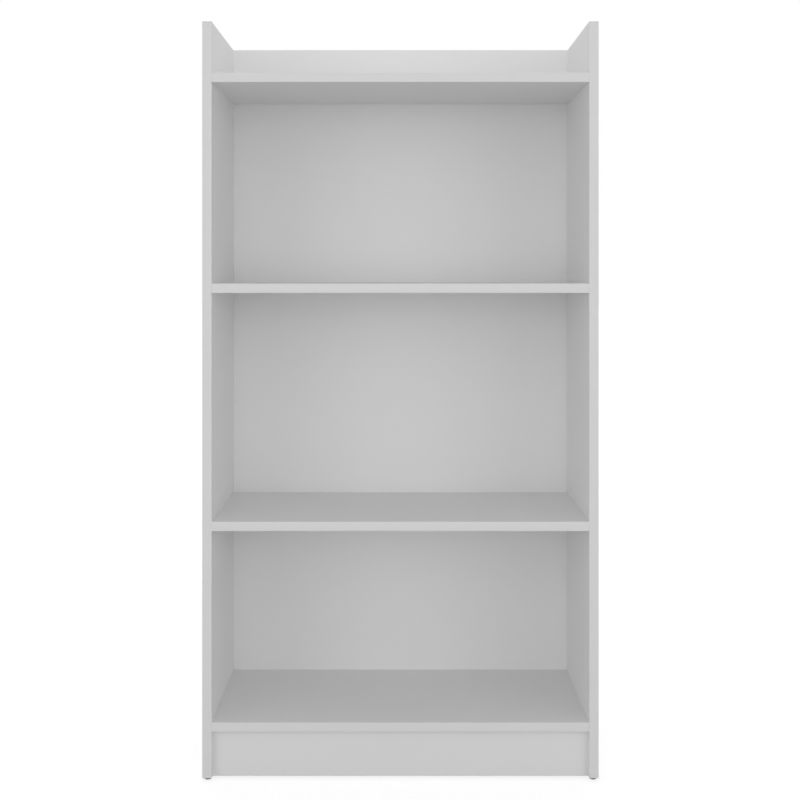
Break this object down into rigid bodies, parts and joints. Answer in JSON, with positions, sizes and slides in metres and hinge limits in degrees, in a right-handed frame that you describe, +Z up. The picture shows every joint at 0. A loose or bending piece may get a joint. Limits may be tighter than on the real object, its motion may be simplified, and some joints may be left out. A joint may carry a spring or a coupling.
{
  "type": "bookcase",
  "caption": "Tall open bookcase in white board: fixed shelves between sides that rise above the top, a low rail at the back, a set-back plinth, a thin back panel and small glides.",
  "frame": {"origin": "on the floor, under the middle of the case", "axes": "+Z up, +X to the right seen from the front, +Y from the open front to the back"},
  "size_m": [0.626, 0.29, 1.2],
  "materials": {
    "white_board": "white melamine faces with a fine satin texture; bare chipboard on edges that have no band",
    "white_edging": "white plastic edge band, satin, with scraped corners",
    "hardboard": "white lacquer on the front face, bare brown hardboard on the rear",
    "zinc_cam": "bright die-cast zinc",
    "steel_hardware": "zinc-plated steel",
    "beech": "plain turned beech",
    "white_cap": "white moulded plastic, satin",
    "grey_glide": "grey moulded plastic, satin"
  },
  "bodies": {
    "root": {"back_panel": "hardboard", "back_panel_screws": "steel_hardware", "bottom_panel": "white_board", "bottom_panel_cam_bolts": "steel_hardware", "bottom_panel_cam_locks": "zinc_cam", "bottom_panel_dowels": "beech", "bottom_panel_edging": "white_edging", "front_left_glide": "grey_glide", "front_right_glide": "grey_glide", "glide_nails": "steel_hardware", "left_side_front_edging": "white_edging", "left_side_panel": "white_board", "left_side_top_edging": "white_edging", "lower_shelf": "white_board", "lower_shelf_cam_bolts": "steel_hardware", "lower_shelf_cam_locks": "zinc_cam", "lower_shelf_dowels": "beech", "lower_shelf_edging": "white_edging", "plinth": "white_board", "plinth_cam_bolts": "steel_hardware", "plinth_cam_locks": "zinc_cam", "plinth_dowels": "beech", "plinth_edging": "white_edging", "rear_left_glide": "grey_glide", "rear_right_glide": "grey_glide", "right_side_front_edging": "white_edging", "right_side_panel": "white_board", "right_side_top_edging": "white_edging", "top_panel": "white_board", "top_panel_cam_bolts": "steel_hardware", "top_panel_cam_caps": "white_cap", "top_panel_cam_locks": "zinc_cam", "top_panel_dowels": "beech", "top_panel_edging": "white_edging", "top_rail": "white_board", "top_rail_cam_bolts": "steel_hardware", "top_rail_cam_locks": "zinc_cam", "top_rail_dowels": "beech", "top_rail_edging": "white_edging", "upper_shelf": "white_board", "upper_shelf_cam_bolts": "steel_hardware", "upper_shelf_cam_locks": "zinc_cam", "upper_shelf_dowels": "beech", "upper_shelf_edging": "white_edging"}
  },
  "joints": []
}
